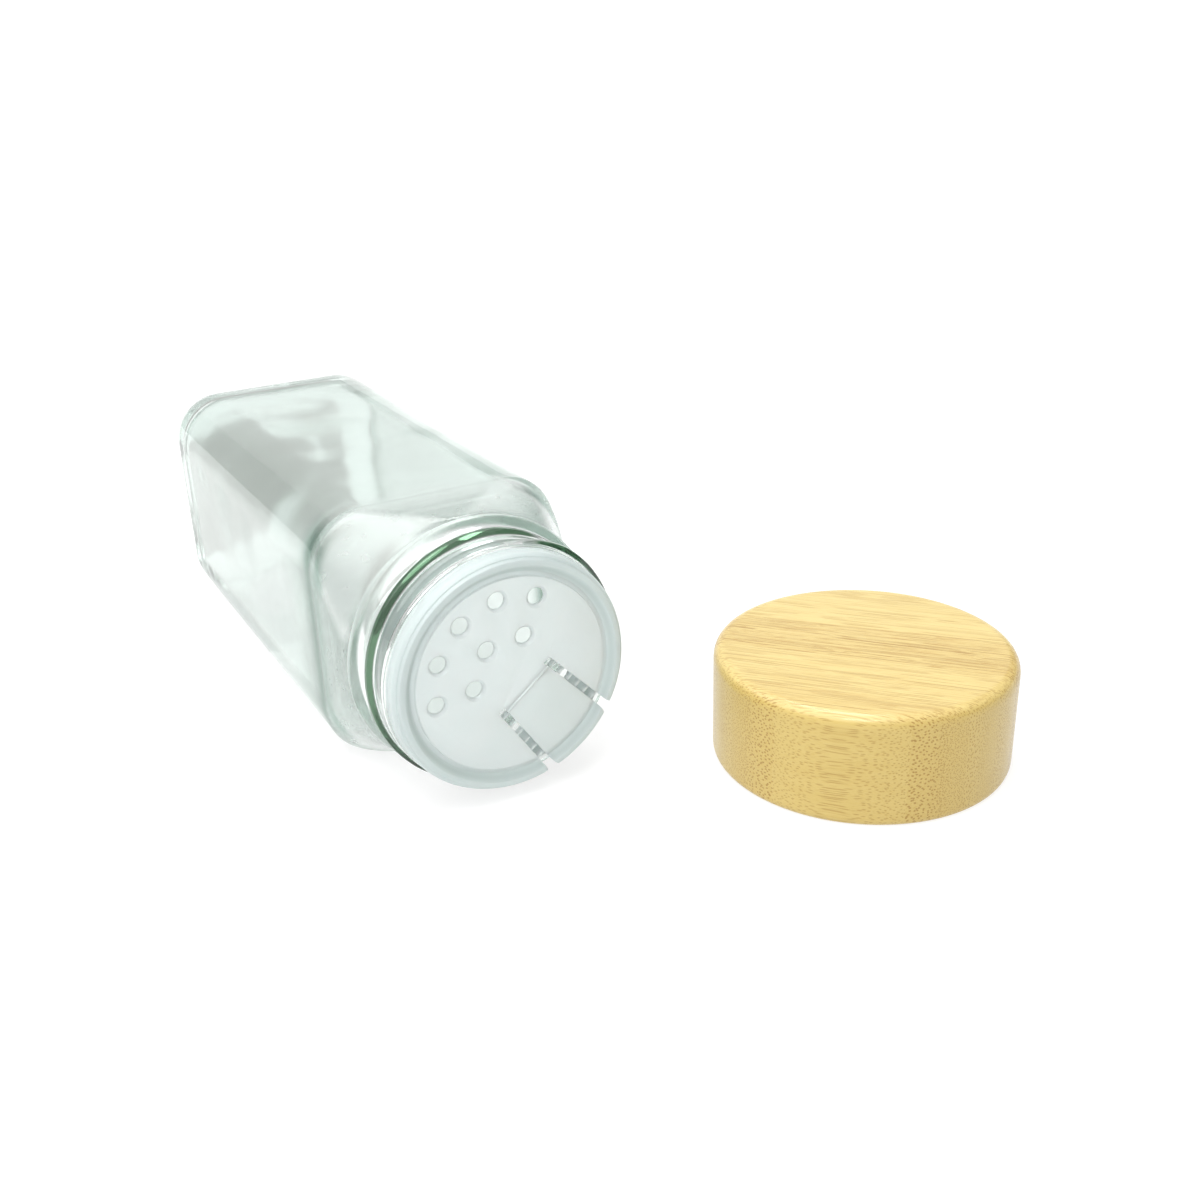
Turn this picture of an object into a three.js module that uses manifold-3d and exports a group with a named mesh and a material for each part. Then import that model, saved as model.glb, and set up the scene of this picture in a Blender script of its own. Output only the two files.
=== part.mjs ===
import * as THREE from "three";
import { mergeVertices } from "three/addons/utils/BufferGeometryUtils.js";
import Module from "manifold-3d";

// Square glass salt shaker lying on one side, with a plastic shaker insert in its mouth and its
// bamboo screw lid taken off and standing beside it.
// Millimetres, +Z up. The origin is the middle of the flat side that the jar lies on, and the mouth
// faces -Y. A station is a distance along the jar's axis from its base.

// Glass body
const BODY_WIDTH = 43; // across the flats
const BODY_LENGTH = 87.7; // base to the start of the shoulder
const BODY_CORNER = 9.4; // radius of the four long edges
const HEEL_ROUND = 7.3; // radius of the edge round the base
const SHOULDER_LENGTH = 10.3;
const SHOULDER_CURVE = 1.3; // 1 is a straight slope, and more rounds off its start
const GLASS_WALL = 2.2;
const GLASS_BASE = 4.5; // thickness under the salt
const KICK_RADIUS = 11; // shallow dome pressed up into the base
const KICK_DEPTH = 1.2;

// Neck and its screw thread
const NECK_DIAMETER = 39.2;
const NECK_LENGTH = 13.2; // shoulder to lip
const NECK_WALL = 2.2;
const LIP_ROUND = 0.7;
const BEAD_PROUD = 1.7; // ring that stands out of the neck below the thread
const BEAD_SET = 3; // end of the shoulder to the middle of the bead
const BEAD_BACK = 2.2; // length of the bead's slope on the shoulder's side
const BEAD_FRONT = 3.4; // length of its gentler slope on the thread's side
const THREAD_DEPTH = 0.9;
const THREAD_PITCH = 4.2;
const THREAD_TURNS = 1.1;
const THREAD_FOOT = 2.2; // width of the ridge where it leaves the neck
const THREAD_CREST = 0.9;
const THREAD_SET = 1.6; // lip to the middle of the ridge's first end
const THREAD_START = THREE.MathUtils.degToRad(95); // where the ridge starts round the neck
const THREAD_FADE = 4; // the higher, the shorter the ridge's faded ends

// Shaker insert
const FLANGE_INSET = 0.2; // the flange stops this far inside the neck's outside
const FLANGE_HEIGHT = 3.3;
const FLANGE_STRAIGHT = 1.5; // upright foot of the flange's rounded outside
const CREST_INSET = 0.95; // flange's foot to the outside of its crest
const CREST_WIDTH = 0.85;
const DISC_RECESS = 0.75; // the disc lies this far below the crest
const DISC_SLOPE = 1.1; // run of the sloped wall from the crest down to the disc
const DISC_THICKNESS = 1.2;
const GROOVE_WIDTH = 0.8; // shallow ring round the edge of the disc
const GROOVE_DEPTH = 0.25;
const PLUG_DEPTH = 7.3; // skirt that plugs into the neck
const PLUG_WALL = 1;
const PLUG_TAPER = 0.5; // lead-in at the skirt's end
const SNAP_RIB_PROUD = 0.15; // ring that grips the bore
const SNAP_RIB_WIDTH = 1.2;
const INSERT_TURN = THREE.MathUtils.degToRad(128.2); // which way the flap points round the axis
const HOLE_DIAMETER = 2.7;
const HOLE_MARGIN = 3.1; // edge of the disc to the outer ring of holes
const OUTER_HOLES = 5;
const OUTER_HOLE_STEP = THREE.MathUtils.degToRad(30);
const INNER_HOLES = 3; // on a ring half as wide
const INNER_HOLE_STEP = THREE.MathUtils.degToRad(60);

// Pour flap, cut from the same moulding
const HINGE_SET = 3.9; // jar's axis to the thin hinge line
const FLAP_HINGE_WIDTH = 9.2;
const FLAP_RIM_WIDTH = 11.8; // width at the flange's outside
const SLOT_WIDTH = 1.25;
const SLOT_PAST_HINGE = 1;
const SLOT_RIBS = 6; // small bars across each slot
const SLOT_RIB_FIRST = 0.6; // hinge line to the first bar
const SLOT_RIB_LAST = 4.9; // last bar to the flange's outside
const SLOT_RIB_THICKNESS = 0.35;
const SLOT_RIB_DROP = 0.4; // the bars lie this far below the disc's face

// Lid
const LID_TOP = 4.5; // bamboo over the cavity
const LID_WALL = 2.05;
const LID_TOP_ROUND = 2.3;
const LID_FOOT_ROUND = 1.4;
const LINER_WALL = 1.1;
const LINER_TOP = 1;
const LINER_SETBACK = 0.4; // the liner's end stays above the lid's foot
const LINER_THREAD_FOOT = 1.4;
const LINER_THREAD_CREST = 0.6;
const SEAL_THICKNESS = 1;
const LID_STANDOFF = 2.4; // closed lid's foot to the middle of the bead
const LID_ASIDE = 54.6; // jar's axis to the middle of the lid that lies beside it
const LID_AHEAD = 15.3; // insert's crest to the middle of the lid

// Clearances
const SEAT_GAP = 0.3; // flange over the lip, and flap over the skirt
const PLUG_GAP = 0.3; // skirt inside the bore
const HINGE_GAP = 0.3;
const RIB_GAP = 0.3; // bars in the slots to the flap
const THREAD_GAP = 0.25;
const GLUE_GAP = 0.2; // bamboo to liner, and liner to seal
const SEAL_GAP = 0.35; // seal inside the liner's bore

// Fineness of the round shapes
const SEGMENTS = 60;
const ROUND_STEPS = 5;
const BEAD_STEPS = 8;
const SHOULDER_STEPS = 7;
const HOLE_SEGMENTS = 16;
const SINK = 0.3; // ridges and bars reach this far into the wall that they stand on
const CUT_OVERRUN = 2; // cutters reach this far past what they cut

// Stations along the jar that several pieces share
const SHOULDER_END = BODY_LENGTH + SHOULDER_LENGTH;
const LIP = SHOULDER_END + NECK_LENGTH;
const BEAD_MIDDLE = SHOULDER_END + BEAD_SET;
const FLANGE_FOOT = LIP + SEAT_GAP;
const CREST = FLANGE_FOOT + FLANGE_HEIGHT;
const DISC_FACE = CREST - DISC_RECESS;
const DISC_BACK = DISC_FACE - DISC_THICKNESS;

// Radii round the jar's axis that several pieces share
const NECK_RADIUS = NECK_DIAMETER / 2;
const BORE_RADIUS = NECK_RADIUS - NECK_WALL;
const THREAD_RADIUS = NECK_RADIUS + THREAD_DEPTH;
const FLANGE_RADIUS = NECK_RADIUS - FLANGE_INSET;
const CREST_OUTSIDE = FLANGE_RADIUS - CREST_INSET;
const CREST_INSIDE = CREST_OUTSIDE - CREST_WIDTH;
const GROOVE_OUTSIDE = CREST_INSIDE - DISC_SLOPE;
const DISC_RADIUS = GROOVE_OUTSIDE - GROOVE_WIDTH;
const PLUG_RADIUS = BORE_RADIUS - PLUG_GAP;

// Sizes of the lid that follow from the neck it screws onto
const LINER_BORE = THREAD_RADIUS + THREAD_GAP;
const LINER_RADIUS = LINER_BORE + LINER_WALL;
const LID_CAVITY = LINER_RADIUS + GLUE_GAP;
const LID_RADIUS = LID_CAVITY + LID_WALL;
const SEAL_FACE = CREST - BEAD_MIDDLE - LID_STANDOFF; // height of the seal's face over the lid's foot
const SEAL_TOP = SEAL_FACE + SEAL_THICKNESS;
const LINER_CEILING = SEAL_TOP + GLUE_GAP;
const LID_CEILING = LINER_CEILING + LINER_TOP + GLUE_GAP;
const LID_HEIGHT = LID_CEILING + LID_TOP;

const wasm = await Module();
wasm.setup();

// A closed geometry as a solid that can be joined and cut.
function solid(geometry) {
  const bare = geometry.clone();
  bare.deleteAttribute("normal");
  bare.deleteAttribute("uv");
  const merged = mergeVertices(bare);
  return new wasm.Manifold(
    new wasm.Mesh({
      numProp: 3,
      vertProperties: merged.attributes.position.array,
      triVerts: new Uint32Array(merged.index.array),
    }),
  );
}

function subPart(name, body, color, roughness) {
  const { vertProperties, triVerts } = body.getMesh();
  const geometry = new THREE.BufferGeometry();
  geometry.setAttribute("position", new THREE.BufferAttribute(vertProperties, 3));
  geometry.setIndex(new THREE.BufferAttribute(triVerts, 1));
  geometry.computeVertexNormals();
  const material = new THREE.MeshStandardMaterial({ color, roughness, metalness: 0 });
  const mesh = new THREE.Mesh(geometry, material);
  mesh.name = name;
  return mesh;
}

// Evenly spaced numbers from 0 to 1.
function steps(count) {
  return Array.from({ length: count + 1 }, (_, i) => i / count);
}

// A solid turned about the Y axis from [radius, height] points, listed from its underside outwards.
function turned(profile) {
  const points = profile.map(([radius, height]) => new THREE.Vector2(radius, height));
  return solid(new THREE.LatheGeometry(points, SEGMENTS));
}

// A flat outline in X and Z carried along Y from one height to another.
function prism(outline, from, to) {
  const shape = new THREE.Shape(outline.map(([x, z]) => new THREE.Vector2(x, z)));
  const geometry = new THREE.ExtrudeGeometry(shape, { depth: to - from, bevelEnabled: false });
  return solid(geometry.rotateX(Math.PI / 2).translate(0, to, 0));
}

// A skin over rings of equal count, closed at both ends.
function loft(rings) {
  const count = rings[0].length;
  const middle = (ring) =>
    ring.reduce((sum, point) => sum.add(point), new THREE.Vector3()).divideScalar(count);
  const last = rings.length - 1;
  const points = [...rings.flat(), middle(rings[0]), middle(rings[last])];
  const firstMiddle = count * rings.length;
  const index = [];
  for (let i = 0; i < count; i++) {
    const next = (i + 1) % count;
    for (let k = 0; k < last; k++) {
      const near = k * count;
      const far = near + count;
      index.push(near + i, far + i, near + next);
      index.push(near + next, far + i, far + next);
    }
    index.push(firstMiddle, i, next);
    index.push(firstMiddle + 1, last * count + next, last * count + i);
  }
  return solid(new THREE.BufferGeometry().setFromPoints(points).setIndex(index));
}

// Distance from the axis to a rounded square, in one direction.
function squareRadius(half, corner, angle) {
  const x = Math.abs(Math.cos(angle));
  const z = Math.abs(Math.sin(angle));
  const centre = half - corner;
  const reach = half / Math.max(x, z);
  if (Math.min(x, z) * reach <= centre) return reach;
  const across = centre * (x - z);
  return centre * (x + z) + Math.sqrt(corner ** 2 - across ** 2);
}

// Ring of a rounded square, or of a circle where the corner's radius is the half width.
function ring(station, half, corner) {
  return steps(SEGMENTS)
    .slice(0, SEGMENTS)
    .map((share) => {
      const angle = share * 2 * Math.PI;
      const radius = squareRadius(half, corner, angle);
      return new THREE.Vector3(radius * Math.cos(angle), station, radius * Math.sin(angle));
    });
}

// Rounded edge round the base, from the flat base to the full width.
function heelRings(base, half, corner, round) {
  return steps(ROUND_STEPS).map((share) => {
    const angle = ((1 - share) * Math.PI) / 2;
    const inset = round * (1 - Math.cos(angle));
    return ring(base + round * (1 - Math.sin(angle)), half - inset, corner - inset);
  });
}

// Shoulder that turns the square body into the round neck.
function shoulderRings(half, corner, radius, end) {
  return steps(SHOULDER_STEPS).map((share) => {
    const blend = share ** SHOULDER_CURVE;
    return ring(
      THREE.MathUtils.lerp(BODY_LENGTH, end, share),
      THREE.MathUtils.lerp(half, radius, blend),
      THREE.MathUtils.lerp(corner, radius, blend),
    );
  });
}

function roundRing(station, radius) {
  return ring(station, radius, radius);
}

// Screw ridge on a round wall, outwards or inwards, that fades into the wall at both ends.
function screwRidge(wall, crest, foot, top, start, startAngle, turns) {
  const side = Math.sign(crest - wall);
  const root = wall - side * SINK;
  const count = Math.round(SEGMENTS * turns);
  const sections = steps(count).map((share) => {
    const angle = startAngle + share * turns * 2 * Math.PI;
    const station = start - share * turns * THREAD_PITCH;
    const fade = Math.min(1, Math.sin(share * Math.PI) * THREAD_FADE);
    const height = THREE.MathUtils.lerp((wall + root) / 2, crest, fade);
    const corners = [
      [root, foot / 2],
      [height, top / 2],
      [height, -top / 2],
      [root, -foot / 2],
    ];
    return corners.map(
      ([radius, rise]) =>
        new THREE.Vector3(
          radius * Math.cos(angle),
          station + side * rise,
          radius * Math.sin(angle),
        ),
    );
  });
  return loft(sections);
}

function glassJar() {
  const half = BODY_WIDTH / 2;
  const heel = Math.min(HEEL_ROUND, BODY_CORNER - GLASS_WALL / 2);
  const bead = steps(BEAD_STEPS).map((share) => {
    const side = 2 * share - 1;
    const swell = (1 + Math.cos(side * Math.PI)) / 2;
    const station = BEAD_MIDDLE + side * (side < 0 ? BEAD_BACK : BEAD_FRONT);
    return roundRing(station, NECK_RADIUS + BEAD_PROUD * swell);
  });
  const outside = loft([
    ...heelRings(0, half, BODY_CORNER, heel),
    ...shoulderRings(half, BODY_CORNER, NECK_RADIUS, SHOULDER_END),
    ...bead,
    roundRing(LIP - LIP_ROUND, NECK_RADIUS),
    roundRing(LIP, NECK_RADIUS - LIP_ROUND),
  ]);
  const innerHalf = half - GLASS_WALL;
  const innerCorner = BODY_CORNER - GLASS_WALL;
  const inside = loft([
    ...heelRings(GLASS_BASE, innerHalf, innerCorner, heel - GLASS_WALL),
    ...shoulderRings(innerHalf, innerCorner, BORE_RADIUS, SHOULDER_END - GLASS_WALL),
    roundRing(LIP + CUT_OVERRUN, BORE_RADIUS),
  ]);
  const kick = turned([
    [0, -CUT_OVERRUN],
    [KICK_RADIUS, -CUT_OVERRUN],
    ...steps(ROUND_STEPS).map((share) => {
      const angle = (share * Math.PI) / 2;
      return [share < 1 ? KICK_RADIUS * Math.cos(angle) : 0, KICK_DEPTH * Math.sin(angle)];
    }),
  ]);
  const thread = screwRidge(
    NECK_RADIUS,
    THREAD_RADIUS,
    THREAD_FOOT,
    THREAD_CREST,
    LIP - THREAD_SET,
    THREAD_START,
    THREAD_TURNS,
  );
  return outside.add(thread).subtract(inside).subtract(kick);
}

// Disc and flange of the insert, with whatever hangs under them listed from the inside out.
function sifterProfile(underside) {
  const outside = steps(ROUND_STEPS).map((share) => {
    const angle = (share * Math.PI) / 2;
    return [
      CREST_OUTSIDE + CREST_INSET * Math.cos(angle),
      FLANGE_FOOT + FLANGE_STRAIGHT + (FLANGE_HEIGHT - FLANGE_STRAIGHT) * Math.sin(angle),
    ];
  });
  return [
    [0, DISC_BACK],
    ...underside,
    [FLANGE_RADIUS, FLANGE_FOOT],
    ...outside,
    [CREST_INSIDE, CREST],
    [GROOVE_OUTSIDE, DISC_FACE],
    [GROOVE_OUTSIDE, DISC_FACE - GROOVE_DEPTH],
    [DISC_RADIUS, DISC_FACE - GROOVE_DEPTH],
    [DISC_RADIUS, DISC_FACE],
    [0, DISC_FACE],
  ];
}

function skirtProfile() {
  const end = FLANGE_FOOT - PLUG_DEPTH;
  const rib = end + 2 * SNAP_RIB_WIDTH;
  const inside = PLUG_RADIUS - PLUG_WALL;
  return [
    [inside, DISC_BACK],
    [inside, end],
    [PLUG_RADIUS - PLUG_TAPER, end],
    [PLUG_RADIUS, end + SNAP_RIB_WIDTH],
    [PLUG_RADIUS, rib - SNAP_RIB_WIDTH / 2],
    [PLUG_RADIUS + SNAP_RIB_PROUD, rib],
    [PLUG_RADIUS, rib + SNAP_RIB_WIDTH / 2],
    [PLUG_RADIUS, FLANGE_FOOT],
  ];
}

// Half of the flap's width at a distance from the axis.
function flapHalf(distance) {
  const share = (distance - HINGE_SET) / (FLANGE_RADIUS - HINGE_SET);
  return THREE.MathUtils.lerp(FLAP_HINGE_WIDTH, FLAP_RIM_WIDTH, share) / 2;
}

// The flap's own outline, pointing along +X past the flange.
function flapOutline() {
  const hinge = HINGE_SET + HINGE_GAP / 2;
  const past = FLANGE_RADIUS + CUT_OVERRUN;
  return [
    [hinge, -flapHalf(hinge)],
    [past, -flapHalf(past)],
    [past, flapHalf(past)],
    [hinge, flapHalf(hinge)],
  ];
}

// What the flap, its slots and its hinge line leave out of the insert.
function flapOpening() {
  const hinge = HINGE_SET - HINGE_GAP / 2;
  const slotEnd = HINGE_SET - SLOT_PAST_HINGE;
  const past = FLANGE_RADIUS + CUT_OVERRUN;
  const side = [
    [hinge, flapHalf(hinge)],
    [slotEnd, flapHalf(slotEnd)],
    [slotEnd, flapHalf(slotEnd) + SLOT_WIDTH],
    [past, flapHalf(past) + SLOT_WIDTH],
  ];
  const mirrored = side.map(([x, z]) => [x, -z]);
  return [...mirrored, ...side.reverse()];
}

// Cutter that clears the disc and the flange for the flap and leaves the skirt standing below it.
function flapCutter() {
  const top = CREST + CUT_OVERRUN;
  const bottom = FLANGE_FOOT - CUT_OVERRUN;
  const skirt = turned([
    [0, bottom - CUT_OVERRUN],
    [PLUG_RADIUS, bottom - CUT_OVERRUN],
    [PLUG_RADIUS, top + CUT_OVERRUN],
    [0, top + CUT_OVERRUN],
  ]);
  const pastSkirt = prism(flapOpening(), bottom, top).subtract(skirt);
  return prism(flapOpening(), DISC_BACK - SEAT_GAP, top).add(pastSkirt);
}

function pourFlap() {
  const step = PLUG_RADIUS + SEAT_GAP;
  const cap = turned(
    sifterProfile([
      [step, DISC_BACK],
      [step, FLANGE_FOOT],
    ]),
  );
  return cap.intersect(prism(flapOutline(), FLANGE_FOOT - CUT_OVERRUN, CREST + CUT_OVERRUN));
}

// Drills for two rings of holes on the side of the disc away from the flap.
function sprinkleHoles() {
  const outer = DISC_RADIUS - HOLE_MARGIN;
  const rings = [
    { radius: outer, step: OUTER_HOLE_STEP, count: OUTER_HOLES },
    { radius: outer / 2, step: INNER_HOLE_STEP, count: INNER_HOLES },
  ];
  const drills = [];
  for (const { radius, step, count } of rings) {
    for (let k = 0; k < count; k++) {
      const angle = (k - (count - 1) / 2) * step;
      const drill = new THREE.CylinderGeometry(
        HOLE_DIAMETER / 2,
        HOLE_DIAMETER / 2,
        DISC_THICKNESS + 2 * CUT_OVERRUN,
        HOLE_SEGMENTS,
      );
      const x = -radius * Math.cos(angle);
      const z = radius * Math.sin(angle);
      drills.push(solid(drill.translate(x, (DISC_FACE + DISC_BACK) / 2, z)));
    }
  }
  return drills;
}

// Small bars that stand out of the insert into the slots beside the flap.
function slotRibs() {
  const height = DISC_THICKNESS - SLOT_RIB_DROP;
  const length = SLOT_WIDTH - RIB_GAP + SINK;
  const first = HINGE_SET + SLOT_RIB_FIRST;
  const last = FLANGE_RADIUS - SLOT_RIB_LAST;
  const bars = [];
  for (const share of steps(SLOT_RIBS - 1)) {
    const distance = THREE.MathUtils.lerp(first, last, share);
    const middle = flapHalf(distance) + RIB_GAP + length / 2;
    for (const side of [-1, 1]) {
      const bar = new THREE.BoxGeometry(SLOT_RIB_THICKNESS, height, length);
      bars.push(solid(bar.translate(distance, DISC_BACK + height / 2, side * middle)));
    }
  }
  return bars;
}

function shakerInsert() {
  let insert = turned(sifterProfile(skirtProfile()));
  insert = insert.subtract(flapCutter());
  for (const drill of sprinkleHoles()) insert = insert.subtract(drill);
  for (const bar of slotRibs()) insert = insert.add(bar);
  return insert;
}

function bambooLid() {
  const topRound = steps(ROUND_STEPS).map((share) => {
    const angle = (share * Math.PI) / 2;
    return [
      LID_RADIUS - LID_TOP_ROUND * (1 - Math.cos(angle)),
      LID_HEIGHT - LID_TOP_ROUND * (1 - Math.sin(angle)),
    ];
  });
  return turned([
    [0, LID_CEILING],
    [LID_CAVITY, LID_CEILING],
    [LID_CAVITY, 0],
    [LID_RADIUS - LID_FOOT_ROUND, 0],
    [LID_RADIUS, LID_FOOT_ROUND],
    ...topRound,
    [0, LID_HEIGHT],
  ]);
}

// Plastic sleeve glued into the bamboo, with the thread that matches the neck's.
function threadLiner() {
  const cup = turned([
    [0, LINER_CEILING],
    [LINER_BORE, LINER_CEILING],
    [LINER_BORE, LINER_SETBACK],
    [LINER_RADIUS, LINER_SETBACK],
    [LINER_RADIUS, LINER_CEILING + LINER_TOP],
    [0, LINER_CEILING + LINER_TOP],
  ]);
  const thread = screwRidge(
    LINER_BORE,
    NECK_RADIUS + THREAD_GAP,
    LINER_THREAD_FOOT,
    LINER_THREAD_CREST,
    LINER_SETBACK + LINER_THREAD_FOOT + THREAD_TURNS * THREAD_PITCH,
    THREAD_START,
    THREAD_TURNS,
  );
  return cup.add(thread);
}

function sealDisc() {
  const radius = LINER_BORE - SEAL_GAP;
  return turned([
    [0, SEAL_FACE],
    [radius, SEAL_FACE],
    [radius, SEAL_TOP],
    [0, SEAL_TOP],
  ]);
}

const sifter = new THREE.Group();
sifter.rotation.y = INSERT_TURN;
sifter.add(
  subPart("shaker_insert", shakerInsert(), 0xdfeae8, 0.4),
  subPart("pour_flap", pourFlap(), 0xdce8e5, 0.4),
);

const bodyMiddle = (HEEL_ROUND + BODY_LENGTH) / 2;
const jar = new THREE.Group();
jar.position.set(0, bodyMiddle, BODY_WIDTH / 2);
jar.rotation.z = Math.PI;
jar.add(subPart("glass_jar", glassJar(), 0xd9e8e4, 0.05), sifter);

const lid = new THREE.Group();
lid.position.set(LID_ASIDE, bodyMiddle - CREST - LID_AHEAD, 0);
lid.rotation.x = Math.PI / 2;
lid.add(
  subPart("bamboo_lid", bambooLid(), 0xe3c48b, 0.45),
  subPart("thread_liner", threadLiner(), 0xf0efea, 0.5),
  subPart("seal_disc", sealDisc(), 0xf4f3ee, 0.7),
);

const saltShaker = new THREE.Group();
saltShaker.add(jar, lid);

export default saltShaker;
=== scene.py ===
import math

import bmesh
import bpy
import numpy as np
from mathutils import Matrix, Vector, noise


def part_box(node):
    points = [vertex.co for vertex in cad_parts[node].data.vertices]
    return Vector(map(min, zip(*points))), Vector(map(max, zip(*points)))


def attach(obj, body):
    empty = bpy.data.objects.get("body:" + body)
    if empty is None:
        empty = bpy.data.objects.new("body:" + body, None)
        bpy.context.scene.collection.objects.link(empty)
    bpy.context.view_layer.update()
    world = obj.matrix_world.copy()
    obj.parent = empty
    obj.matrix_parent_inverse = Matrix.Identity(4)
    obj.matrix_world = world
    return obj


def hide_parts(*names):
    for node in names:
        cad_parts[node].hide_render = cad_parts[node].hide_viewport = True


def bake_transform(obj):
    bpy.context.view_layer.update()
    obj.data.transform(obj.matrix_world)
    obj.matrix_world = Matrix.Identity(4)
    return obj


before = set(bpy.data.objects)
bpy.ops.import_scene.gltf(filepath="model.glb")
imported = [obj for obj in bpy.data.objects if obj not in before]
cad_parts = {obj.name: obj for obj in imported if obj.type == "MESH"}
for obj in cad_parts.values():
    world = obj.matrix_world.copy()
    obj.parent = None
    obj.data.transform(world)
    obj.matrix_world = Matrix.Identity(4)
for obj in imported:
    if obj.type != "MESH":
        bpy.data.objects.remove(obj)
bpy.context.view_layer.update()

MM = 0.001

# Jar, with stations measured along its axis from the base towards the mouth
jar_low, jar_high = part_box("glass_jar")
HALF = (jar_high.x - jar_low.x) / 2
LIP = jar_high.y - jar_low.y
BODY_END = 87.7 * MM
SHOULDER_END = 98 * MM
SHOULDER_CURVE = 1.3
SHOULDER_CROWDING = 1.4
CORNER_CROWDING = 0.12
NECK_FILLET = 0.45 * MM
CORNER = 9.4 * MM
HEEL = 7.3 * MM
HEEL_LEAST_CORNER = 0.5 * MM
WALL = 2 * MM
BASE = 4.5 * MM
INSIDE_CORNER = 8.2 * MM
INSIDE_HEEL = 6.2 * MM
INSIDE_SQUARE = 86 * MM
KICK_RADIUS = 11 * MM
KICK_DEPTH = 1.2 * MM
BASE_RINGS = 5
BODY_RINGS = 34
NECK_RINGS = 72
LIP_RINGS = 12
INSIDE_NECK_RINGS = 64
INSIDE_BODY_RINGS = 32
STILL_RINGS = 8
WAVE_SIZE = 32 * MM
OUTER_WAVE = 0.05 * MM
INNER_WAVE = 0.7 * MM
RIPPLE_SIZE = 11 * MM
INNER_RIPPLE = 0.22 * MM

# Neck, with the inside given as stations and radii from the bore down to the body
NECK = 19.6 * MM
BORE = 17.4 * MM
INSIDE_STATIONS = (INSIDE_SQUARE, SHOULDER_END - 0.4 * MM, SHOULDER_END + 4.2 * MM)
INSIDE_RADII = (HALF - WALL, BORE + 1.15 * MM, BORE)
INSIDE_SOFTNESS = np.linspace(-1, 1, 9) * MM
LIP_ROUND = 0.8 * MM
BEAD_MIDDLE = SHOULDER_END + 3 * MM
BEAD_BACK = 2.2 * MM
BEAD_FRONT = 3.4 * MM
BEAD_PROUD = 1.7 * MM
THREAD_PROUD = 0.9 * MM
THREAD_FOOT = 2.2 * MM
THREAD_CREST = 0.9 * MM
THREAD_PITCH = 4.2 * MM
THREAD_TURNS = 1.1
THREAD_TOP = LIP - 1.6 * MM
THREAD_START = math.radians(85)
THREAD_FADE = 4

# Shaker insert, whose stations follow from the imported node
insert_low, insert_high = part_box("shaker_insert")
CREST = jar_high.y - insert_low.y
SKIRT_END = jar_high.y - insert_high.y
FLANGE_FOOT = LIP + 0.3 * MM
FLANGE = NECK - 0.2 * MM
RIM_STEP = 0.14 * MM
RIM_STEP_LOW = FLANGE_FOOT + 0.45 * MM
RIM_STEP_HIGH = FLANGE_FOOT + 0.6 * MM
RIM_TOP = CREST - 1.3 * MM
RIM_ROUND = 0.5 * MM
LEDGE = ((FLANGE - 0.5 * MM, CREST - 0.62 * MM), (FLANGE - 0.7 * MM, CREST - 0.58 * MM))
CREST_FALL = 0.06 * MM
CREST_ROUND = 0.25 * MM
STEP_ROUND = 0.12 * MM
FINE_ROUND = 0.15 * MM
CREST_OUTSIDE = FLANGE - 0.95 * MM
CREST_INSIDE = CREST_OUTSIDE - 0.85 * MM
GROOVE_OUTSIDE = CREST_INSIDE - 1.1 * MM
DISC_EDGE = GROOVE_OUTSIDE - 0.8 * MM
GROOVE_DEPTH = 0.42 * MM
GROOVE_SLOPE = 0.1 * MM
DISC_FACE = CREST - 0.75 * MM
DISC_BACK = DISC_FACE - 1.2 * MM
SKIRT = BORE - 0.3 * MM
SKIRT_WALL = 1 * MM
SKIRT_LEAD = 0.5 * MM
SKIRT_LEAD_ROUND = 0.4 * MM
SKIRT_FOOT_ROUND = 0.25 * MM
SKIRT_ROUND = 0.3 * MM
SNAP_RIB = 0.15 * MM
SNAP_RIB_WIDTH = 1.2 * MM
FLAP_ANGLE = math.radians(-51.8)
HOLE = 1.35 * MM
HOLE_BEVEL = 0.42 * MM
HOLE_SIDES = 40
HOLE_RING = DISC_EDGE - 3.1 * MM
HOLE_ROWS = ((HOLE_RING, 5, math.radians(30)), (HOLE_RING / 2, 3, math.radians(60)))

# Pour flap and the slots beside it
HINGE = 3.9 * MM
HINGE_GAP = 0.3 * MM
FLAP_HINGE_HALF = 4.6 * MM
FLAP_RIM_HALF = 5.9 * MM
FLAP_CORNER = 3.2 * MM
FLAP_HINGE_CORNER = 0.15 * MM
FLAP_STEP_ROUND = 0.2 * MM
FLAP_PAST = 0.5 * MM
WEB_OVERLAP = 0.12 * MM
WEB_DEPTH = 0.7 * MM
WEB_RISE = 0.16 * MM
WEB_SINK = 0.02 * MM
WEB_END_GAP = 0.05 * MM
WEB_STEPS = 8
SLOT = 1.25 * MM
SLOT_PAST_HINGE = 1 * MM
SLOT_ROUND = 1.5 * MM
SLOT_CORNER_STEPS = 8
BARS = 6
BAR_FIRST = 0.6 * MM
BAR_LAST = 4.9 * MM
BAR_THICKNESS = 0.35 * MM
BAR_DROP = 0.25 * MM
BAR_GAP = 0.1 * MM
BAR_BITE = 0.05 * MM
BAR_EDGE = 0.06 * MM
SEAT_GAP = 0.3 * MM
SEAT_INSET = 0.2 * MM
OVERRUN = 2 * MM

# Broken edges, and the clean-up before and after they are broken
EDGE = 0.09 * MM
EDGE_ANGLE = math.radians(40)
CREASE_ANGLE = math.radians(35)
FLAT_ANGLE = math.radians(0.5)
WELD = 0.01 * MM
EDGE_WELD = 0.002 * MM

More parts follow.
